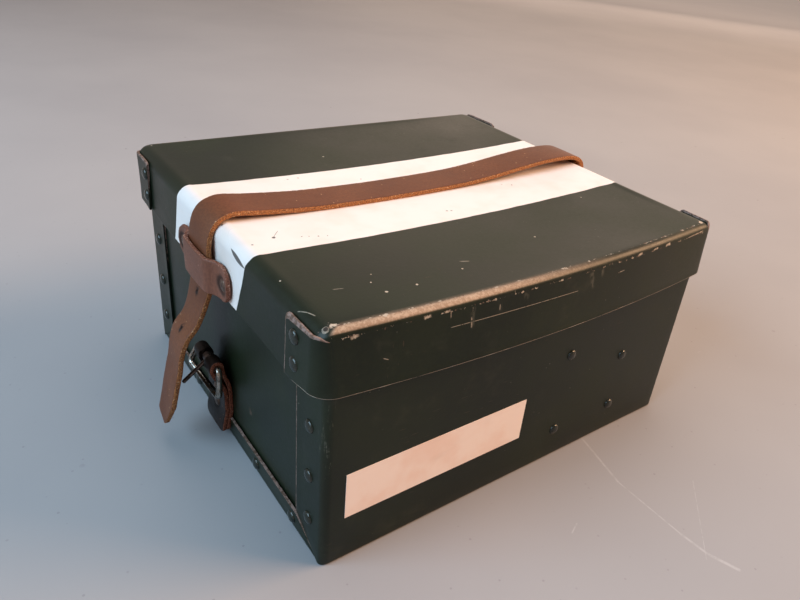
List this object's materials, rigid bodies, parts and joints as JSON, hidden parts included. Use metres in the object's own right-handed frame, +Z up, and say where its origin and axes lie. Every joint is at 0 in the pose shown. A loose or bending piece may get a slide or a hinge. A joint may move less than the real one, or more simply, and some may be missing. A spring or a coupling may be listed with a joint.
{
  "type": "first aid case",
  "caption": "Fibre case with a deep cap lid that swings on a leather strap, keepers on the rims and a buckle low on one end; its band and label are bare.",
  "frame": {"origin": "on the floor under the middle of the case", "axes": "+X along the case from the buckle end to the hinge end, +Y from the labelled front to the back, +Z up"},
  "size_m": [0.3384, 0.2805, 0.163],
  "materials": {
    "green_fibre": "satin paint, worn at folds",
    "painted_rivet": "satin paint",
    "white_paper": "matt",
    "white_paint": "satin",
    "dark_leather": "waxed and worn",
    "brown_leather": "waxed and worn",
    "dull_rivet": "dull",
    "buckle_steel": "dark nickel, worn bright"
  },
  "bodies": {
    "case": {"case_wrap": "green_fibre", "left_end_panel": "green_fibre", "right_end_panel": "green_fibre", "corner_rivets": "painted_rivet", "flange_rivets": "painted_rivet", "front_label": "white_paper", "inner_pocket": "green_fibre", "pocket_rivets": "painted_rivet", "buckle_chape": "dark_leather", "chape_rivets": "dull_rivet", "chape_washers": "dull_rivet", "strap_anchor": "brown_leather", "anchor_rivets": "dull_rivet", "anchor_washers": "dull_rivet"},
    "lid": {"lid_shell": "green_fibre", "lid_band": "white_paint", "lid_tab_rivets": "painted_rivet", "left_keeper": "brown_leather", "right_keeper": "brown_leather", "keeper_rivets": "dull_rivet", "keeper_washers": "dull_rivet", "strap_over_lid": "brown_leather"},
    "tail": {"strap_tail": "brown_leather"},
    "buckle": {"buckle_frame": "buckle_steel"},
    "prong": {"buckle_prong": "buckle_steel"}
  },
  "joints": [
    {"name": "lid_swing", "type": "hinge", "parent": "case", "child": "lid", "pos_m": [0.1539, 0.004, 0.118], "axis": [0, 1, 0], "range_deg": [0, 150]},
    {"name": "tail_swing", "type": "hinge", "parent": "lid", "child": "tail", "pos_m": [-0.1539, 0.004, 0.1148], "axis": [0, 1, 0], "range_deg": [0, 80]},
    {"name": "buckle_swing", "type": "hinge", "parent": "case", "child": "buckle", "pos_m": [-0.1518, 0.004, 0.058], "axis": [0, 1, 0], "range_deg": [-14, 7]},
    {"name": "prong_swing", "type": "hinge", "parent": "buckle", "child": "prong", "pos_m": [-0.1518, 0.004, 0.058], "axis": [0, 1, 0], "range_deg": [-12, 0]}
  ]
}
